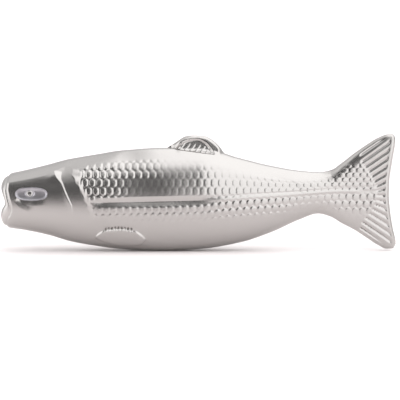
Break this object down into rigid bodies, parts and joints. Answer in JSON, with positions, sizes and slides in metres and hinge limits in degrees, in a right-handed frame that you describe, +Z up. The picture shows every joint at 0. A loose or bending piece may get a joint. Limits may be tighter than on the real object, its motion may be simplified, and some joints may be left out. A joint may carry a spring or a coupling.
{
  "type": "fish-shaped bottle opener",
  "caption": "Hollow pressed-steel fish with embossed scales and fins; its open mouth hooks and levers off a crown cap.",
  "frame": {"origin": "under the middle of the fish, on the surface that its belly and lower tail tip stand on", "axes": "+X along the fish from its mouth to its tail, +Y through its thickness, +Z up"},
  "size_m": [0.18, 0.0256, 0.0534],
  "materials": {
    "shell_steel": "satin",
    "mouth_steel": "satin",
    "eye_steel": "polished",
    "rivet_steel": "polished"
  },
  "bodies": {
    "root": {"left_shell": "shell_steel", "right_shell": "shell_steel", "mouth_cup": "mouth_steel", "left_eye_cup": "eye_steel", "right_eye_cup": "eye_steel", "eye_rivet": "rivet_steel", "rivet_spacer": "rivet_steel"}
  },
  "joints": []
}
